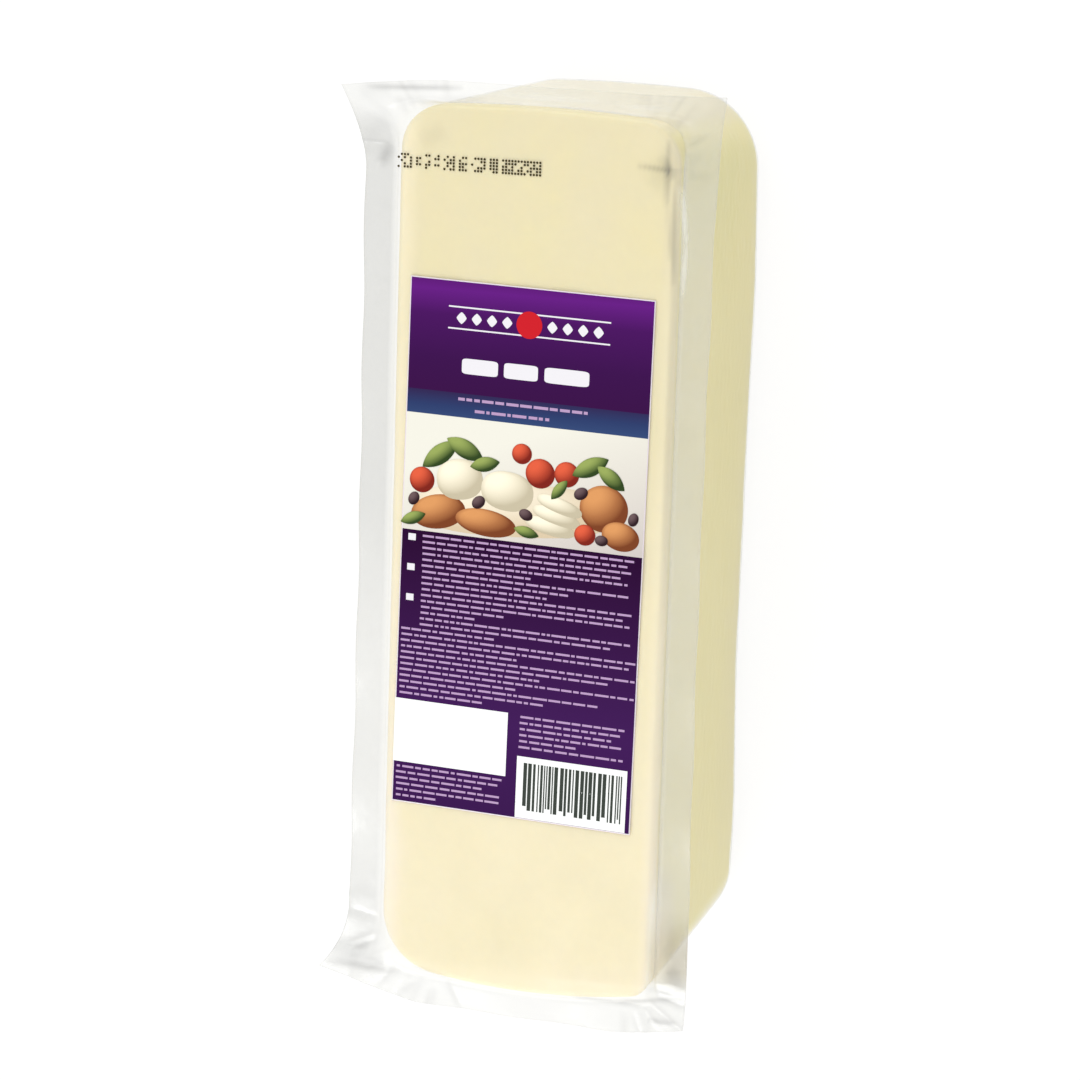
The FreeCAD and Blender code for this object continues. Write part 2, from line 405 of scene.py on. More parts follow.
def edge_folds(count, seed):
    """Faint short folds across the long welded edges, at random places along them."""
    draw = np.random.default_rng(seed)
    side = draw.choice([-1, 1], count)
    y = draw.uniform(-112, 118, count)
    near = draw.uniform(48.5, 51, count)
    far = draw.uniform(54, 59, count)
    drift = draw.uniform(-5, 5, count)
    width = draw.uniform(0.7, 1.4, count)
    rise = draw.uniform(-0.12, 0.12, count)
    # faint painted shade along each fold
    shade = np.full(count, 0.015)
    return np.stack([side * near, y, side * far, y + drift, width, rise, shade], axis=1)


FOLDS = np.concatenate([
    np.array(LARGE_FOLDS),
    corner_folds(-1, TOP, 11, seed=31),
    corner_folds(1, TOP, 13, seed=32),
    corner_folds(1, LOW, 13, seed=33),
    corner_folds(-1, LOW, 15, seed=34),
    edge_folds(26, seed=35),
])


def fold_relief(x, y):
    """Height, painted shade and painted highlight of the folds at each point: along a fold from its
    start to its end, a bell of its width across it times the square root of sin(pi t), summed over
    all folds."""
    height, dark, white = np.zeros(x.shape), np.zeros(x.shape), np.zeros(x.shape)
    for start_x, start_y, end_x, end_y, width, rise, shade in FOLDS:
        way_x, way_y = end_x - start_x, end_y - start_y
        t = ((x - start_x) * way_x + (y - start_y) * way_y) / (way_x ** 2 + way_y ** 2)
        inside = np.clip(t, 0, 1)
        distance = np.hypot(x - start_x - inside * way_x, y - start_y - inside * way_y)
        bell = np.exp(-(distance / width) ** 2) * np.sqrt(np.sin(math.pi * inside))
        height += rise * bell
        # painted shade in the fold's crease, or a painted highlight where its darkness is negative
        dark += max(shade, 0) * bell
        white += max(-shade, 0) * bell
    return height, np.minimum(dark, MOST_PAINTED_SHADE), white


# ---- the film -------------------------------------------------------------------------------
FILM_GAP = 0.3                               # between the two films in the welded edge

# How milky and how dark the welded edge is beside the face and past its ends. The left edge's darkness
# is partly painted shade, and its extra darkness along its upper half is painted shade alone.
LONG_HAZE, TOP_HAZE, LOW_HAZE = 0.13, 0.01, 0.02
LEFT_DIM, LEFT_TOP_PAINTED_SHADE, RIGHT_DIM, TOP_DIM, LOW_DIM = 0.055, 0.06, 0.035, 0.0, 0.008
RIM_HAZE, RIM_DIM = 0.04, 0.03               # more of both along the cut edge

FACE_HAZE, FACE_LOOSE = 0.15, 0.12           # the film on the face
WALL_HAZE, WALL_DIM, WALL_LOOSE = 0.02, 0.01, 0.2
EDGE_LOOSE, LONG_LOOSE = 0.3, 0.6            # the welded edge, and what its long sides add


class Rows:
    """Rings of points, from the middle of the face outwards and down to the middle of the back, with
    how milky, how dark (partly painted shade) and how loose the film is at each point."""

    def __init__(self):
        self.parts = []

    def add(self, x, y, z, milk, dim_with_painted_shade, loose):
        """Adds rings; each value is one number, or one for each ring, station or point."""
        shape = np.broadcast_shapes(np.shape(x), np.shape(z), np.shape(milk), (1, COUNT))
        self.parts.append([np.broadcast_to(v, shape) for v in (x, y, z, milk, dim_with_painted_shade, loose)])

    def joined(self):
        """All rings' x, y, z, milk, dim and loose."""
        return [np.concatenate(column) for column in zip(*self.parts)]


def edge_look(edge_x, edge_y):
    """How milky and how dark the welded edge is at each station: the long edges' values blend into
    the ends' through the corners, the left edge carries painted shade, more of it along its upper
    half, and the corner at the top left is clearer."""
    end_haze = by_end({TOP: TOP_HAZE, LOW: LOW_HAZE})
    end_dim = by_end({TOP: TOP_DIM, LOW: LOW_DIM})
    # painted shade on the left edge, more along its upper half
    left_dim_with_painted_shade = LEFT_DIM + LEFT_TOP_PAINTED_SHADE * smooth(END_SIGN * SIDE_SHARE * HALF_LENGTH, -45, 20)
    long_dim_with_painted_shade = np.where(SIDE_SIGN > 0, RIGHT_DIM, left_dim_with_painted_shade)
    clear = 1 - 0.75 * smooth(edge_y - 0.6 * edge_x, 170, 184)
    haze = between(end_haze, LONG_HAZE, ON_LONG_EDGE) * clear
    dim_with_painted_shade = between(end_dim, long_dim_with_painted_shade, ON_LONG_EDGE) * clear
    return haze, dim_with_painted_shade


def film_rows():
    """The lid film from the middle of the face out to the trimmed edge, and the pocket film from
    there back in under it, down the walls and in to the middle of the back."""
    rows = Rows()
    face = DEPTH - CLING
    edge_x, edge_y = edge_ring()
    haze, dim_with_painted_shade = edge_look(edge_x, edge_y)
    loose = EDGE_LOOSE + LONG_LOOSE * ON_LONG_EDGE * (1 - 0.8 * CORNERNESS)
    face_x, face_y = loaf_ring(0.0, DEPTH)
    weld_start = 0.15 + 0.22 * CORNERNESS      # share of the way from the face to the trimmed edge
    weld_x, weld_y = between(face_x, edge_x, weld_start), between(face_y, edge_y, weld_start)

    # over the face
    shares = np.r_[np.linspace(0, 0.55, 7)[:-1], np.linspace(0.55, 1, 20)]
    x, y = cap_rings(shares, FACE_ROUND, DEPTH)
    # the folds' dark is painted shade in their creases, their white a painted highlight added to the
    # milk
    height, dark, white = fold_relief(x, y)
    rows.add(x, y, face - end_fall(y) + height, FACE_HAZE + white, dark, FACE_LOOSE)

    # free between the face's edge and the weld, where it sags
    start_x, start_y = x[-1], y[-1]
    share = np.linspace(0, 1, 13)[1:, None]
    x, y = between(start_x, weld_x, share), between(start_y, weld_y, share)
    # painted shade and painted highlights from the folds, as on the face
    height, dark, white = fold_relief(x, y)
    sag = 0.35 * np.exp(-((share - 0.7) / 0.18) ** 2) * (1 - 0.6 * CORNERNESS)
    z = between(face - end_fall(y), edge_height(x, y), smooth(share, 0.2, 0.95)) - sag + height
    milk = between(FACE_HAZE, haze, share) + white
    rows.add(x, y, z, milk, dim_with_painted_shade * share + dark, between(FACE_LOOSE, loose, share))

    # the welded edge, out along the lid film and back along the pocket film
    share = np.r_[np.linspace(0, 1, 12)[1:-1], 0.98, 1.0][:, None]
    x, y = between(weld_x, edge_x, share), between(weld_y, edge_y, share)
    # painted shade and painted highlights from the folds, as on the face
    height, dark, white = fold_relief(x, y)
    z = edge_height(x, y) + height
    rim = smooth(share, 0.975, 0.985)
    rim_haze, rim_dim = haze + RIM_HAZE * rim, dim_with_painted_shade + RIM_DIM * rim
    rows.add(x, y, z, rim_haze + white, rim_dim + dark, loose)
    rows.add(x[::-1], y[::-1], z[::-1] - FILM_GAP, rim_haze[::-1], rim_dim[::-1], loose)

    # in from the weld to the place where the film meets the wall, lower at the corners
    touch = EDGE_LEVEL - 2.5 - 8 * CORNERNESS
    wall_x, wall_y = loaf_ring(CLING, touch)
    share = np.linspace(0, 1, 9)[:-1, None]
    x, y = between(weld_x, wall_x, share), between(weld_y, wall_y, share)
    level = edge_height(x, y) - FILM_GAP + fold_relief(x, y)[0] * (1 - share)
    milk = 0.7 * haze * (1 - share) + WALL_HAZE
    z = between(level, touch, share ** 1.6)
    rows.add(x, y, z, milk, WALL_DIM, between(loose, WALL_LOOSE, share))

    # clinging to the wall, round the back's edge and over the back
    share = np.linspace(0, 1, 14)[:-1, None]
    height = between(touch, CLING + BACK_ROUND, share)
    x, y = loaf_ring(CLING, height)
    rows.add(x, y, height, WALL_HAZE, WALL_DIM, WALL_LOOSE)
    turn = np.linspace(0, math.pi / 2, 9)[:-1, None]
    height = CLING + BACK_ROUND * (1 - np.sin(turn))
    x, y = loaf_ring(CLING + BACK_ROUND * (1 - np.cos(turn)), height)
    rows.add(x, y, height, WALL_HAZE, WALL_DIM, WALL_LOOSE)
    x, y = cap_rings(np.linspace(1, 0, 12), BACK_ROUND + CLING, 0.0)
    rows.add(x, y, CLING, WALL_HAZE, WALL_DIM, WALL_LOOSE)
    return rows.joined()


def make_film(material):
    """The closed film bag round the loaf, with its welded edge, folds and crinkles. A little whey
    has gathered near the low right corner, where it dims the welded edge and clouds the film
    between it and the face."""
    x, y, z, milk, dim_with_painted_shade, loose = film_rows()
    whey = smooth(x, 44, 49) * smooth(-y, 108, 126) * (1 - smooth(-y, 131, 138)) * smooth(z, 70, 84)
    on_edge = smooth(x, 50, 54)
    milk = milk + 0.04 * whey * (1 - on_edge) * smooth(z, DEPTH - 4, DEPTH - 2)
    dim_with_painted_shade = dim_with_painted_shade + 0.13 * whey * on_edge
    points = np.stack([x, y, z], axis=-1).reshape(-1, 3)
    kinds = {"milk": milk, "dim_with_painted_shade": dim_with_painted_shade, "loose": loose, "whey": whey}
    return make_piece("film_pack", points, ring_faces(len(x), COUNT), material, kinds)


# ---- materials ------------------------------------------------------------------------------
class Nodes:
    """A short way to write a node material."""

    def __init__(self, name):
        self.material = bpy.data.materials.new(name)
        self.material.use_nodes = True
        self.tree = self.material.node_tree
        self.tree.nodes.clear()
        self.output = self.tree.nodes.new("ShaderNodeOutputMaterial")

    def fill(self, socket, value):
        """Links a socket to another node's output, or sets its value."""
        if isinstance(value, bpy.types.NodeSocket):
            self.tree.links.new(value, socket)
        else:
            socket.default_value = value

    def add(self, kind, settings=None, numbered=(), **inputs):
        """A node with its settings, its numbered inputs in order, and its named inputs."""
        node = self.tree.nodes.new("ShaderNode" + kind)
        for key, value in (settings or {}).items():
            setattr(node, key, value)
        for index, value in enumerate(numbered):
            self.fill(node.inputs[index], value)
        for key, value in inputs.items():
            self.fill(node.inputs[key.replace("_", " ")], value)
        return node

    def finish(self, shader):
        """The material, with this shader as its surface."""
        self.tree.links.new(shader.outputs[0], self.output.inputs["Surface"])
        return self.material

    def attribute(self, name):
        """A value that the mesh holds for each point."""
        return self.add("Attribute", {"attribute_name": name}).outputs["Fac"]

    def place(self):
        """The point's place in the object, in metres."""
        return self.add("TexCoord").outputs["Object"]

    def noise(self, scale, detail, roughness, stretch=(1, 1, 1)):
        """Noise over the object's own place, from 0 to 1; stretch gives its rate along each axis."""
        place = self.add("Mapping", Vector=self.place(), Scale=stretch).outputs[0]
        node = self.add("TexNoise", Vector=place, Scale=scale, Detail=detail, Roughness=roughness)
        return node.outputs["Fac"]

    def spread(self, value, from_low, from_high, low=0.0, high=1.0):
        """A value carried from one range to another, kept within it."""
        node = self.add("MapRange", Value=value, From_Min=from_low, From_Max=from_high,
                        To_Min=low, To_Max=high)
        return node.outputs[0]

    def combine(self, operation, first, second):
        """Two values put together by an operation such as ADD or MULTIPLY."""
        return self.add("Math", {"operation": operation}, (first, second)).outputs[0]

    def ramp(self, value, stops):
        """A colour from a value, through stops of a place from 0 to 1 and an 8-bit colour."""
        node = self.add("ValToRGB", Fac=value)
        elements = node.color_ramp.elements
        while len(elements) < len(stops):
            elements.new(0.5)
        for element, (place, *colour) in zip(elements, stops):
            element.position = place
            element.color = srgb(*colour)
        return node.outputs[0]


def cheese_material():
    """Pressed cheese, yellower on its walls and paler on its face, with light and shade painted into
    its colour, faintly mottled, soft with scattered light."""
    nodes = Nodes("pressed_mozzarella")
    mottle = nodes.spread(nodes.noise(26, 5, 0.6, (1, 0.6, 1)), 0.3, 0.7, -0.12, 0.12)
    # pale holds painted light, sheen and shade; the mottle is the cheese's own
    pale = nodes.combine("ADD", nodes.attribute("pale"), mottle)
    colour = nodes.ramp(nodes.spread(pale, -0.36, 1.6), [
        (0.00, 224, 216, 146), (0.12, 234, 223, 158), (0.19, 236, 225, 163), (0.36, 231, 220, 178),
        (0.54, 240, 229, 193), (0.69, 243, 232, 207), (0.76, 244, 234, 212), (1, 255, 248, 232)])
    pits = nodes.add("Bump", Height=nodes.noise(420, 4, 0.6), Strength=0.12, Distance=0.0003)
    shader = nodes.add("BsdfPrincipled", Base_Color=colour, Roughness=0.5, Normal=pits.outputs[0],
                       Specular_IOR_Level=0.12, Subsurface_Weight=0.25, Subsurface_Scale=0.004,
                       Subsurface_Radius=(1.0, 0.85, 0.6))
    return nodes.finish(shader)


def film_material():
    """Clear packing film: it lets light through, dimmed where it is welded and darkened by painted
    shade in its folds and along its left welded edge, yellowed where whey has gathered under it,
    mirrors more where it is loose, and is faintly milky, with painted highlights as milky streaks."""
    nodes = Nodes("clear_packing_film")
    broad, fine = nodes.noise(90, 3, 0.5, (1, 0.35, 1)), nodes.noise(420, 2, 0.5, (1, 0.5, 1))
    crinkles = nodes.combine("ADD", broad, fine)
    bump = nodes.add("Bump", Height=crinkles, Strength=0.2, Distance=0.0006).outputs[0]
    # the film's own dimness at the weld, with painted shade from the folds and the left welded edge
    clear = nodes.ramp(nodes.attribute("dim_with_painted_shade"), [(0, 253, 253, 252), (1, 30, 32, 34)])
    yellowed = nodes.ramp(nodes.attribute("whey"), [(0, 255, 255, 255), (1, 247, 243, 232)])
    tinted = nodes.add("VectorMath", {"operation": "MULTIPLY"}, (clear, yellowed)).outputs[0]
    through = nodes.add("BsdfTransparent", Color=tinted)
    mirror = nodes.add("BsdfGlossy", Color=(0.95, 0.95, 0.95, 1), Roughness=0.24, Normal=bump)
    straight = nodes.spread(nodes.attribute("loose"), 0, 1, 0.015, 0.09)
    slant = nodes.add("LayerWeight", Blend=0.5, Normal=bump).outputs["Facing"]
    mirrored = nodes.combine("MAXIMUM", straight, nodes.combine("POWER", slant, 5.0))
    sheet = nodes.add("MixShader", None, (mirrored, through.outputs[0], mirror.outputs[0]))
    cloud = nodes.spread(nodes.noise(60, 3, 0.6), 0.3, 0.7, 0.8, 1.2)
    milk = nodes.add("BsdfDiffuse", Color=srgb(232, 232, 228))
    # the milk carries painted highlights from the folds that are white
    milky = nodes.combine("MULTIPLY", nodes.attribute("milk"), cloud)
    return nodes.finish(nodes.add("MixShader", None, (milky, sheet.outputs[0], milk.outputs[0])))


def print_material(name, colour):
    """Printed ink with a soft satin finish. colour is an 8-bit colour, or makes one from the nodes."""
    nodes = Nodes(name)
    base = colour(nodes) if callable(colour) else srgb(*colour)
    grain = nodes.add("Bump", Height=nodes.noise(900, 2, 0.5), Strength=0.05, Distance=0.0002)
    return nodes.finish(nodes.add("BsdfPrincipled", Base_Color=base, Roughness=0.5,
                                  Normal=grain.outputs[0], Specular_IOR_Level=0.05))


# ---- label ----------------------------------------------------------------------------------
LABEL_WIDTH, LABEL_LENGTH = 83.0, 173.5
LABEL_TURN = math.radians(-0.8)
LABEL_MIDDLE = LABEL_BOX.mean(axis=0)
SHEET_TOP = LABEL_BOX[1, 2] - 0.08           # leaves room above for its unevenness and the ink
SHEET_DEPTH = 0.15
INK = 0.02                                   # one layer of print
EDGE = 0.35                                  # bare edge of the sticker round its print

# Heights along the label, from its middle, where one coloured field ends and the next begins.
BAND_TOP, PICTURE_TOP, PICTURE_LOW = 50.5, 42.7, 4.3
EMBLEM_LEVEL = 74.75                         # middle of the row of lozenges
TITLE_LEVEL = 59.4                           # and of the title's bars
DOME_LIGHT = (-0.45, 0.55, 0.7)              # the drawn shapes are lit from their upper left


def on_label(u, v, lift):
    """Points on the label from its own middle: u to the right, v towards its top end, turned as the
    label is, at the sheet's upper face plus lift and a slight unevenness."""
    u, v = np.broadcast_arrays(u, v)
    x = LABEL_MIDDLE[0] + u * math.cos(LABEL_TURN) - v * math.sin(LABEL_TURN)
    y = LABEL_MIDDLE[1] + u * math.sin(LABEL_TURN) + v * math.cos(LABEL_TURN)
    z = SHEET_TOP + 0.05 * wander(x, y, 0 * x, 38, seed=21) + lift
    return np.stack(np.broadcast_arrays(x, y, z), axis=-1)


def label_field(name, left, low, right, top, lift, material):
    """A rectangle of print as an even grid of points, about 2 mm apart."""
    across = int((right - left) / 2)
    along = int((top - low) / 2)
    u, v = np.meshgrid(np.linspace(left, right, across), np.linspace(low, top, along))
    index = np.arange(u.size).reshape(u.shape)
    quads = np.stack([index[:-1, :-1], index[:-1, 1:], index[1:, 1:], index[1:, :-1]], axis=-1)
    faces = quads.reshape(-1, 4).tolist()
    return make_piece(name, on_label(u, v, lift).reshape(-1, 3), faces, material)


def label_bars(name, boxes, lift, material):
    """Small printed bars, one quad for each left, low, right and top."""
    boxes = np.array(boxes)
    points = on_label(boxes[:, [0, 2, 2, 0]], boxes[:, [1, 1, 3, 3]], lift)
    faces = np.arange(4 * len(boxes)).reshape(-1, 4).tolist()
    return make_piece(name, points.reshape(-1, 3), faces, material)


def label_patches(name, patches, lift, material, sides=36, rings=7):
    """Printed rounded shapes, each a row of its middle, half length, half width, turn in degrees and
    two powers: a point at share s and angle a is s times (length cos^p a, width sin^q a), turned
    and moved. Powers of 1 give an ellipse, small ones a box, a large q a pointed leaf. The tone is
    how brightly a dome over the patch would be lit by the dome light."""
    u, v, length, width, turn, p, q = (column[:, None, None] for column in np.array(patches, float).T)
    share = np.linspace(0, 1, rings)[None, :, None]
    angle = np.linspace(0, 2 * math.pi, sides, endpoint=False)[None, None, :]
    x = share * np.sign(np.cos(angle)) * np.abs(np.cos(angle)) ** p
    y = share * np.sign(np.sin(angle)) * np.abs(np.sin(angle)) ** q
    turn = np.radians(turn)
    cos, sin = np.cos(turn), np.sin(turn)
    across, along = x * length * cos - y * width * sin, x * length * sin + y * width * cos
    dome = x * cos - y * sin, x * sin + y * cos, np.sqrt(np.clip(1 - x ** 2 - y ** 2, 0, 1))
    tone = np.clip(sum(light * slope for light, slope in zip(DOME_LIGHT, dome)), 0, 1)
    order = np.arange(len(patches))[:, None, None]
    points = on_label(u + across, v + along, lift + 0.12 * INK * order + 0 * across)
    faces = (np.array(ring_faces(rings, sides)) + rings * sides * order).reshape(-1, 4)
    return make_piece(name, points.reshape(-1, 3), faces.tolist(), material,
                      {"tone": np.broadcast_to(tone, across.shape)})


def along_label(nodes, low, high):
    """The place along the label, from 0 at `low` millimetres to 1 at `high`."""
    y = nodes.add("SeparateXYZ", Vector=nodes.place()).outputs["Y"]
    return nodes.spread(y, low * MM, high * MM)


def graded_ink(name, low, high, stops):
    """Ink whose colour changes along the label between two heights."""
    return print_material(name, lambda nodes: nodes.ramp(along_label(nodes, low, high), stops))


def picture_colour(nodes):
    """The picture's ground: greyer towards its low right, paler towards its upper left."""
    place = nodes.add("SeparateXYZ", Vector=nodes.place()).outputs
    slope = nodes.combine("SUBTRACT", place["Y"], nodes.combine("MULTIPLY", place["X"], 0.35))
    return nodes.ramp(nodes.spread(slope, -0.010, 0.040), [
        (0, 196, 188, 184), (0.35, 210, 204, 196), (1, 228, 226, 214)])


def label_fields(white):
    """The sticker's sheet and its coloured fields from the top end down, with two white fields."""
    half_u, half_v = LABEL_WIDTH / 2, LABEL_LENGTH / 2
    side, end = half_u - EDGE, half_v - EDGE
    sheet = label_field("label_sheet", -half_u, -half_v, half_u, half_v, 0.0,
                        print_material("label_paper", (236, 226, 234)))
    wall = sheet.modifiers.new("thickness", "SOLIDIFY")
    wall.thickness = SHEET_DEPTH * MM
    wall.offset = -1
    violet = graded_ink("violet_ink", 50, 88, [
        (0, 53, 11, 66), (0.35, 56, 12, 73), (0.72, 69, 16, 90), (0.93, 96, 26, 124), (1, 88, 22, 112)])
    blue = graded_ink("blue_ink", 43, 52.5, [(0, 50, 71, 114), (0.5, 42, 57, 101), (1, 46, 34, 76)])
    plum = graded_ink("plum_ink", -87, 5, [
        (0, 52, 16, 72), (0.35, 60, 22, 82), (0.7, 50, 13, 65), (1, 38, 2, 46)])
    ground = print_material("picture_ground_ink", picture_colour)
    return [
        sheet,
        label_field("upper_panel", -side, BAND_TOP, side, end, INK, violet),
        label_field("blue_band", -side, PICTURE_TOP, side, BAND_TOP, INK, blue),
        label_field("picture_ground", -side, PICTURE_LOW, side, PICTURE_TOP, INK, ground),
        label_field("lower_panel", -side, -end, side, PICTURE_LOW, INK, plum),
        label_field("writing_field", -half_u, -73.2, -2.0, -52.0, 2 * INK, white),
        label_field("bar_panel", 1.8, -86.3, 39.7, -65.8, 2 * INK, white),
    ]


def food_picture(ground):
    """A plain drawing of food on a pale ground: white cheese, round rolls, tomatoes, olives and
    leaves, one piece for each kind. A kind has its dark and light colour and its patches."""
    kinds = [
        ("board", (208, 190, 160), (236, 226, 204), [
            (-3, 14.5, 35, 8.6, 4, 0.7, 0.9)]),
        ("rolls", (118, 62, 34), (212, 148, 92), [
            (-29, 11.2, 9.5, 5.6, 12, 1, 1), (-12.5, 9.4, 10.5, 4.4, -5, 1, 1),
            (27.5, 18.5, 8.2, 7.6, 0, 1, 1), (33.5, 10.2, 6.4, 4.6, -10, 1, 1)]),
        ("cheese_pieces", (190, 180, 154), (246, 238, 214), [
            (-22, 22.5, 8.0, 6.6, 8, 0.9, 0.9), (-5.5, 20.5, 9.0, 6.4, -4, 0.9, 0.9),
            (9.5, 10.6, 8.5, 2.6, -10, 0.8, 0.9), (11.5, 14.2, 8.3, 2.5, -14, 0.8, 0.9),
            (12.5, 17.8, 8.0, 2.4, -16, 0.8, 0.9)]),
        ("tomatoes", (122, 34, 24), (218, 92, 62), [
            (5.5, 27.5, 5.0, 4.8, 0, 1, 1), (14.5, 28.2, 4.2, 4.1, 0, 1, 1),
            (-35.0, 21.0, 4.3, 4.2, 0, 1, 1), (21.5, 9.4, 3.6, 3.4, 0, 1, 1),
            (-1.0, 33.2, 3.4, 3.3, 0, 1, 1)]),
        ("olives", (44, 26, 32), (104, 84, 86), [
            (-15.2, 15.8, 2.5, 1.9, 40, 1, 1), (1.2, 13.6, 2.4, 1.8, -20, 1, 1),
            (19.6, 22.6, 2.5, 1.9, 30, 1, 1), (37.6, 16.2, 2.2, 1.7, 70, 1, 1),
            (-37.6, 14.6, 2.3, 1.8, 60, 1, 1), (27.2, 8.2, 2.2, 1.7, 0, 1, 1)]),
        ("leaves", (46, 66, 30), (146, 162, 88), [
            (-29, 30.0, 7.6, 3.1, 38, 1, 1.8), (-20.5, 32.6, 7.0, 3.0, -24, 1, 1.8),
            (-13.5, 28.4, 5.2, 2.4, 14, 1, 1.8), (22.4, 31.4, 6.8, 2.9, 28, 1, 1.8),
            (29.5, 28.6, 5.8, 2.6, -36, 1, 1.8), (-37.6, 8.2, 4.6, 2.0, 22, 1, 1.8),
            (1.6, 8.0, 4.4, 1.8, -12, 1, 1.8), (12.2, 23.0, 4.2, 1.8, 52, 1, 1.8)]),
    ]
    pieces = []
    for level, (name, dark, light, patches) in enumerate(kinds):
        middle = tuple(0.45 * d + 0.55 * l for d, l in zip(dark, light))
        stops = [(0.1, *dark), (0.55, *middle), (0.95, *light)]
        ink = print_material(name + "_ink", lambda n, stops=stops: n.ramp(n.attribute("tone"), stops))
        pieces.append(label_patches("drawn_" + name, patches, ground + INK * (1 + 0.9 * level), ink))
    return pieces


def emblem_and_title(white):
    """On the violet field: a row of lozenges between two rules, with a red disc in its middle, and
    three bars in the title's place."""
    left, low, right, top, line = -28.0, 71.0, 27.0, 78.5, 0.5
    rules = [(left, low, right, low + line), (left, top - line, right, top)]
    lozenge_places = (-23.5, -18.3, -13.1, -7.9, 7.4, 12.6, 17.8, 23.0)
    lozenges = [(u, EMBLEM_LEVEL, 1.7, 1.9, 0, 1.6, 1.6) for u in lozenge_places]
    disc = [(-0.4, EMBLEM_LEVEL, 4.4, 4.4, 0, 1, 1)]
    title = [(u, TITLE_LEVEL, length, 2.5, 0, 0.25, 0.3)
             for u, length in ((-16.6, 6.2), (-2.6, 5.8), (13.0, 7.6))]
    return [
        label_bars("rules", rules, 2 * INK, white),
        label_patches("lozenges", lozenges, 2 * INK, white),
        label_patches("red_disc", disc, 3 * INK, print_material("red_ink", (196, 30, 40))),
        label_patches("title_bars", title, 2 * INK, white),
    ]


def word_rows(left, right, top, pitch, ends, seed):
    """Rows of short bars like very small print: words of 1 to 5 mm with gaps between, one row for
    each share in `ends`, which is how far it reaches from left to right."""
    draw = np.random.default_rng(seed)
    boxes = []
    for row, end in enumerate(ends):
        stop = between(left, right, end)
        u = left + draw.uniform(0, 0.4)
        v = top - pitch * row
        while u < stop - 1.0:
            length = min(draw.uniform(1.1, 5.0), stop - u)
            boxes.append((u, v - 0.36 * pitch, u + length, v))
            u += length + draw.uniform(0.45, 0.8)
    return boxes


def small_print(white):
    """Rows of small bars on the blue band and in four blocks below the picture, with three square
    marks beside the first block."""
    ink = print_material("small_print_ink", (178, 148, 186))
    band = word_rows(-24, 22, 49.1, 2.6, [1], 51) + word_rows(-18, 8, 45.6, 2.6, [1], 52)
    blocks = (
        (-34, 38.5, 3.0, 1.95,
         [1, 0.97, 1, 0.94, 0.98, 0.52, 1, 0.7, 0.6, 1, 0.96, 1, 0.4, 0.28, 1, 0.93], 53),
        (-40.4, 40.6, -28.2, 1.95,
         [0.4, 1, 0.98, 0.5, 1, 0.9, 0.6, 1, 0.5, 0.85, 0.62, 0.36], 54),
        (2, 38, -52.4, 2.0, [1, 0.96, 0.9, 1, 0.55, 1], 55),
        (-40.4, -2.5, -74.4, 1.95, [1, 0.97, 0.8, 1, 1, 0.4], 56),
    )
    rows = [box for block in blocks for box in word_rows(*block)]
    marks = [(-39.0, v - 1.1, -36.4, v + 1.1) for v in (1.9, -8.0, -18.0)]
    return [
        label_bars("band_print", band, 2 * INK, ink),
        label_bars("small_print", rows, 2 * INK, ink),
        label_bars("small_marks", marks, 2 * INK, white),
    ]


def bar_stripes():
    """Upright stripes of random width and gap on the low white field, some a little shorter."""
    draw = np.random.default_rng(5)
    stripes = []
    u = 4.2
    while u < 38.2:
        width = draw.choice([0.45, 0.85, 1.25])
        stripes.append((u, -83.6 + draw.choice([0, 0, 1.4]), u + width, -67.8))
        u += width + draw.choice([0.35, 0.5, 0.75])
    return label_bars("bar_stripes", stripes, 3 * INK, print_material("bar_ink", (58, 64, 58)))


def make_label():
    """The sticker, its sheet first, and plain shapes where print stands."""
    field_white = print_material("white_ink", (240, 242, 240))
    line_white = print_material("bright_ink", (226, 224, 228))
    return [
        *label_fields(field_white),
        *food_picture(INK),
        *emblem_and_title(line_white),
        *small_print(line_white),
        bar_stripes(),
    ]


def make_dot_code():
    """A row of ten-sided dots printed on the film near its top end, five high, in random places
    that grow denser to the right, with bare columns at uneven distances."""
    draw = np.random.default_rng(17)
    columns, rows, pitch, radius = 48, 5, 0.98, 0.41
    start_x, stop_x, start_y, stop_y = -48.0, 1.2, 123.3, 123.9
    grid = draw.uniform(size=(rows, columns)) < np.linspace(0.5, 0.8, columns)
    grid[:, np.cumsum(draw.integers(3, 7, 10))[:8]] = False
    row, column = np.nonzero(grid)
    share = column[:, None] / (columns - 1)
    turn = np.linspace(0, 2 * math.pi, 10, endpoint=False)
    x = between(start_x, stop_x, share) + radius * np.cos(turn)
    y = between(start_y, stop_y, share) + pitch * row[:, None] + radius * np.sin(turn)
    z = DEPTH - CLING + 1.5 * INK - end_fall(y) + fold_relief(x, y)[0]
    points = np.stack([x, y, z], axis=-1).reshape(-1, 3)
    faces = np.arange(len(points)).reshape(-1, len(turn)).tolist()
    return make_piece("dot_code", points, faces, print_material("dot_ink", (62, 54, 34)))


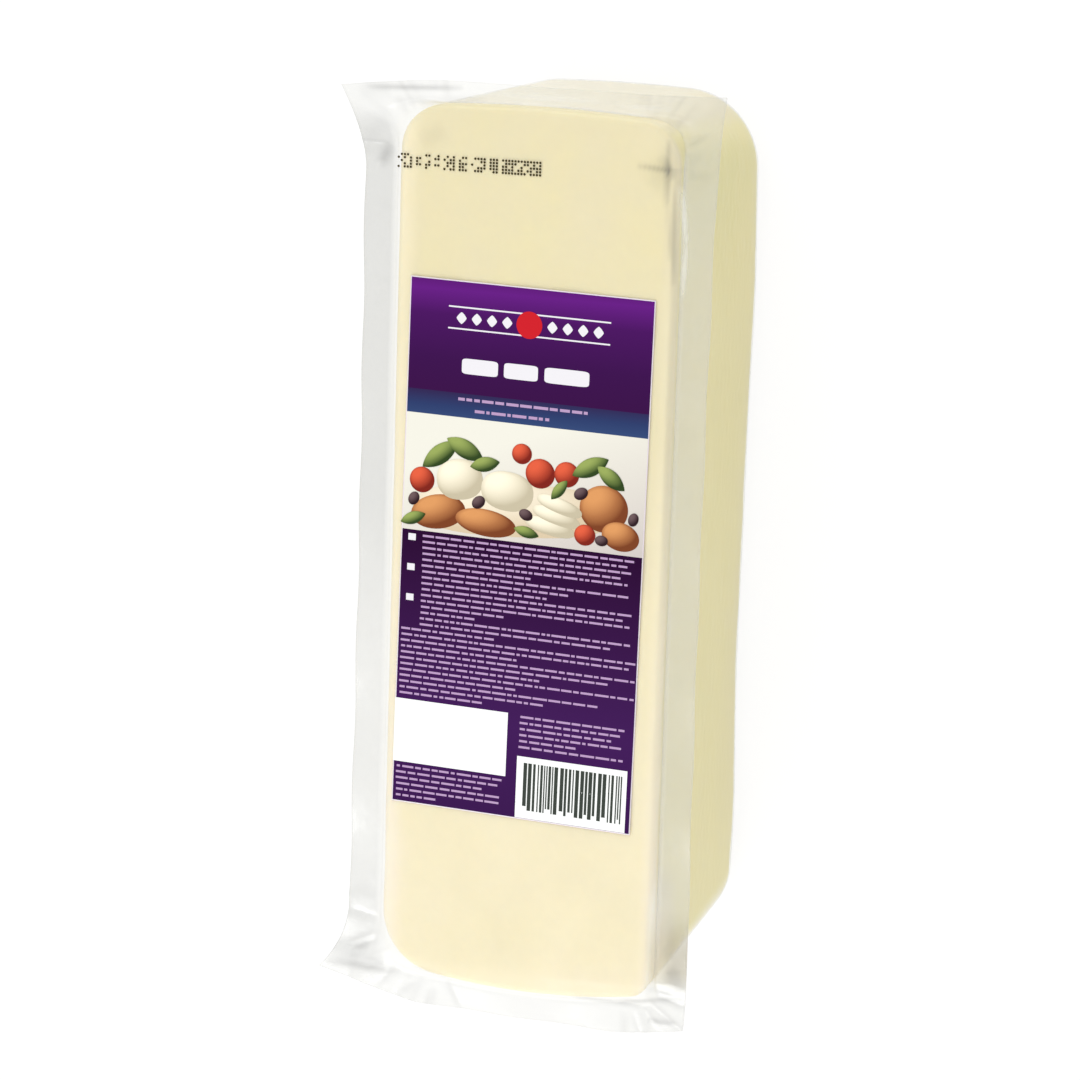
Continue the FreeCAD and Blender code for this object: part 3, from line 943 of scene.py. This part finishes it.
# ---- stage ----------------------------------------------------------------------------------
def make_floor():
    """A wide pale floor, nearly white to the eye and in reflections, that keeps a faint shadow."""
    reach = 6000.0
    points = np.array([[-reach, -reach, 0], [reach, -reach, 0], [reach, reach, 0], [-reach, reach, 0]])
    nodes = Nodes("pale_floor")
    path = nodes.add("LightPath").outputs
    seen = nodes.combine("MAXIMUM", path["Is Camera Ray"], path["Is Glossy Ray"])
    seen = nodes.combine("MAXIMUM", seen, path["Is Transmission Ray"])
    plain = nodes.add("BsdfDiffuse", Color=(0.8, 0.8, 0.8, 1))
    lit = nodes.add("BsdfDiffuse", Color=(0.15, 0.15, 0.15, 1))
    glow = nodes.add("Emission", Color=(1, 1, 1, 1), Strength=0.875)
    bright = nodes.add("AddShader", None, (lit.outputs[0], glow.outputs[0]))
    mix = nodes.add("MixShader", None, (seen, plain.outputs[0], bright.outputs[0]))
    floor = make_piece("floor", points, [[0, 1, 2, 3]], nodes.finish(mix), smooth_shading=False)


def make_lights():
    """A pale sky all round and three broad lamps that face the pack: past its low end on the left,
    past its top end, and a weak one on its right. Places are in metres."""
    world = bpy.data.worlds.new("studio")
    bpy.context.scene.world = world
    world.use_nodes = True
    sky = world.node_tree.nodes["Background"]
    sky.inputs["Color"].default_value = (1, 1, 1, 1)
    sky.inputs["Strength"].default_value = 0.72
    for name, place, size, power in (
        ("low_left_lamp", (-0.45, -1.35, 1.0), 1.4, 17),
        ("top_lamp", (-0.1, 1.4, 0.95), 1.4, 12),
        ("right_lamp", (1.35, -0.4, 0.8), 1.4, 3),
    ):
        lamp = bpy.data.lights.new(name, "AREA")
        lamp.shape = "SQUARE"
        lamp.size = size
        lamp.energy = power
        holder = bpy.data.objects.new(name, lamp)
        holder.location = place
        holder.rotation_euler = (-Vector(place)).to_track_quat("-Z", "Y").to_euler()
        bpy.context.scene.collection.objects.link(holder)


def make_camera():
    """The camera looks at a point of the face from above its right and top end, slightly rolled."""
    turn, rise, roll = (math.radians(a) for a in (20.84, 12.02, 1.76))
    target = Vector((5.0, 7.3, DEPTH)) * MM
    distance = 1434.8 * MM
    away = Vector((math.sin(turn) * math.cos(rise), math.sin(rise), math.cos(turn) * math.cos(rise)))
    right = Vector((0, 1, 0)).cross(away).normalized()
    up = away.cross(right)
    rolled_right = math.cos(roll) * right + math.sin(roll) * up
    rolled_up = math.cos(roll) * up - math.sin(roll) * right
    camera_data = bpy.data.cameras.new("camera")
    camera_data.sensor_width = 36
    camera_data.lens = 150
    camera = bpy.data.objects.new("camera", camera_data)
    place = Matrix((rolled_right, rolled_up, away)).transposed().to_4x4()
    place.translation = target + away * distance
    camera.matrix_world = place
    bpy.context.scene.collection.objects.link(camera)
    bpy.context.scene.camera = camera


# ---- put together ---------------------------------------------------------------------------
cheese = make_cheese(cheese_material())
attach(cheese, "root")
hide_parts("cheese_loaf")

film = make_film(film_material())
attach(film, "root")
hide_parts("film_flange")

label_pieces = make_label()
for piece in label_pieces:
    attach(piece, "root")
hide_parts("label")

dots = make_dot_code()
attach(dots, "root")

make_floor()
make_lights()
make_camera()
bpy.context.scene.view_settings.view_transform = "Standard"
